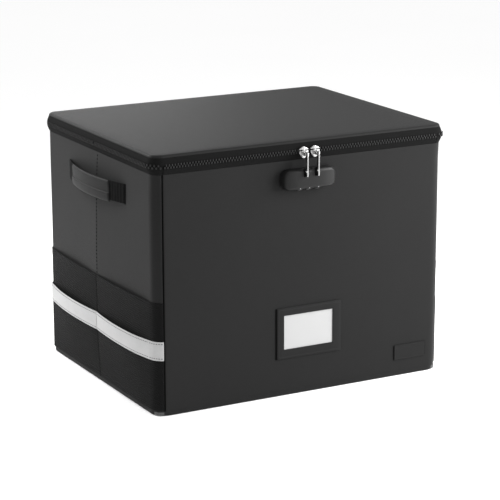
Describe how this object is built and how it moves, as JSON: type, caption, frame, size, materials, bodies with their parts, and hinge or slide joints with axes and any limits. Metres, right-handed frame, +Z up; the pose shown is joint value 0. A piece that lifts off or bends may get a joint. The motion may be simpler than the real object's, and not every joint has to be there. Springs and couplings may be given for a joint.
{
  "type": "record storage box",
  "caption": "Cloth-covered record storage box with a zipped flip lid, number lock, side handles and pockets, and walls that fold flat.",
  "frame": {"origin": "middle of the flat underside, between the four upright walls", "axes": "+X to the right seen from the front, +Y to the back, +Z up; the lock is on the -Y wall"},
  "size_m": [0.4486, 0.353, 0.335],
  "materials": {
    "grey_cloth": "coated plain weave",
    "pocket_cloth": "coated twill",
    "lining": "non-woven felt",
    "board": "grey board",
    "zip_tape": "woven tape",
    "coil": "nylon coil",
    "webbing": "woven webbing",
    "reflective_strip": "light grey reflective tape",
    "card": "plain card",
    "patch": "soft flat patch",
    "lock_body": "black moulded, matt",
    "wheel": "black moulded",
    "slider_metal": "bright nickel",
    "steel": "plain steel"
  },
  "bodies": {
    "case": {"base_tray": "grey_cloth", "base_board": "board", "back_cover": "grey_cloth", "back_board": "board", "back_band": "zip_tape", "hinge_strip": "zip_tape"},
    "left_rear": {"left_rear_cover": "grey_cloth", "left_rear_board": "board", "left_rear_tall_pocket": "pocket_cloth", "left_rear_low_pocket": "pocket_cloth", "left_rear_strip": "reflective_strip", "left_rear_zip": "zip_tape", "left_handle_strap": "webbing", "left_handle_grip": "webbing"},
    "left_front": {"left_front_cover": "grey_cloth", "left_front_board": "board", "left_front_tall_pocket": "pocket_cloth", "left_front_low_pocket": "pocket_cloth", "left_front_strip": "reflective_strip", "left_front_zip": "zip_tape"},
    "right_rear": {"right_rear_cover": "grey_cloth", "right_rear_board": "board", "right_rear_tall_pocket": "pocket_cloth", "right_rear_low_pocket": "pocket_cloth", "right_rear_strip": "reflective_strip", "right_rear_zip": "zip_tape", "right_handle_strap": "webbing", "right_handle_grip": "webbing"},
    "right_front": {"right_front_cover": "grey_cloth", "right_front_board": "board", "right_front_tall_pocket": "pocket_cloth", "right_front_low_pocket": "pocket_cloth", "right_front_strip": "reflective_strip", "right_front_zip": "zip_tape"},
    "front": {"front_cover": "grey_cloth", "front_board": "board", "front_zip": "zip_tape", "label_frame": "grey_cloth", "label_card": "card", "front_patch": "patch", "lock_housing": "lock_body", "lock_back_plate": "steel", "lock_screws": "steel", "dial_spindle": "steel", "detent_leaf": "steel"},
    "latch": {"latch_bar": "steel", "release_button": "lock_body"},
    "dial_1": {"number_wheel_1": "wheel"},
    "dial_2": {"number_wheel_2": "wheel"},
    "dial_3": {"number_wheel_3": "wheel"},
    "lid": {"lid_cover": "grey_cloth", "lid_board": "board", "lid_lining": "lining", "lid_band": "zip_tape", "lid_zip_coil": "coil"},
    "left_slider": {"left_slider": "slider_metal"},
    "right_slider": {"right_slider": "slider_metal"},
    "left_pull": {"left_pull_tab": "slider_metal"},
    "right_pull": {"right_pull_tab": "slider_metal"}
  },
  "joints": [
    {"name": "left_rear_fold", "type": "hinge", "parent": "case", "child": "left_rear", "pos_m": [-0.198, 0.153, 0.16], "axis": [0, 0, -1], "range_deg": [-75, 0], "deforming": ["left_rear_tall_pocket", "left_rear_low_pocket", "left_rear_strip", "left_rear_zip", "left_front_tall_pocket", "left_front_low_pocket", "left_front_strip", "left_front_zip", "left_handle_strap", "left_handle_grip"]},
    {"name": "left_middle_fold", "type": "hinge", "parent": "left_rear", "child": "left_front", "pos_m": [-0.21, 0, 0.16], "axis": [0, 0, -1], "range_deg": [0, 150]},
    {"name": "left_front_fold", "type": "hinge", "parent": "left_front", "child": "front", "pos_m": [-0.198, -0.153, 0.16], "axis": [0, 0, -1], "range_deg": [-75, 0]},
    {"name": "right_rear_fold", "type": "hinge", "parent": "case", "child": "right_rear", "pos_m": [0.198, 0.153, 0.16], "axis": [0, 0, -1], "range_deg": [0, 75], "deforming": ["right_rear_tall_pocket", "right_rear_low_pocket", "right_rear_strip", "right_rear_zip", "right_front_tall_pocket", "right_front_low_pocket", "right_front_strip", "right_front_zip", "right_handle_strap", "right_handle_grip"]},
    {"name": "right_middle_fold", "type": "hinge", "parent": "right_rear", "child": "right_front", "pos_m": [0.21, 0, 0.16], "axis": [0, 0, -1], "range_deg": [-150, 0]},
    {"name": "lid_hinge", "type": "hinge", "parent": "case", "child": "lid", "pos_m": [0, 0.1693, 0.321], "axis": [-1, 0, 0], "range_deg": [0, 180], "deforming": ["hinge_strip"]},
    {"name": "latch_slide", "type": "slide", "parent": "front", "child": "latch", "axis": [1, 0, 0], "range_m": [0, 0.0035]},
    {"name": "left_slider_slide", "type": "slide", "parent": "lid", "child": "left_slider", "axis": [1, 0, 0], "range_m": [-0.17, 0]},
    {"name": "left_pull_swing", "type": "hinge", "parent": "left_slider", "child": "left_pull", "pos_m": [-0.0042, -0.1786, 0.319], "axis": [-1, 0, 0], "range_deg": [-14.5, 150]},
    {"name": "right_slider_slide", "type": "slide", "parent": "lid", "child": "right_slider", "axis": [1, 0, 0], "range_m": [0, 0.17]},
    {"name": "right_pull_swing", "type": "hinge", "parent": "right_slider", "child": "right_pull", "pos_m": [0.012, -0.1786, 0.319], "axis": [-1, 0, 0], "range_deg": [-14.5, 150]},
    {"name": "dial_1_spin", "type": "hinge", "parent": "front", "child": "dial_1", "pos_m": [-0.0112, -0.1716, 0.2767], "axis": [1, 0, 0], "continuous": true},
    {"name": "dial_2_spin", "type": "hinge", "parent": "front", "child": "dial_2", "pos_m": [0.00195, -0.1716, 0.2767], "axis": [1, 0, 0], "continuous": true},
    {"name": "dial_3_spin", "type": "hinge", "parent": "front", "child": "dial_3", "pos_m": [0.0151, -0.1716, 0.2767], "axis": [1, 0, 0], "continuous": true}
  ],
  "couplings": [
    {"joint": "left_middle_fold", "follows": "left_rear_fold", "ratio": -2},
    {"joint": "left_front_fold", "follows": "left_rear_fold", "ratio": 1},
    {"joint": "right_rear_fold", "follows": "left_rear_fold", "ratio": -1},
    {"joint": "right_middle_fold", "follows": "left_rear_fold", "ratio": 2}
  ]
}
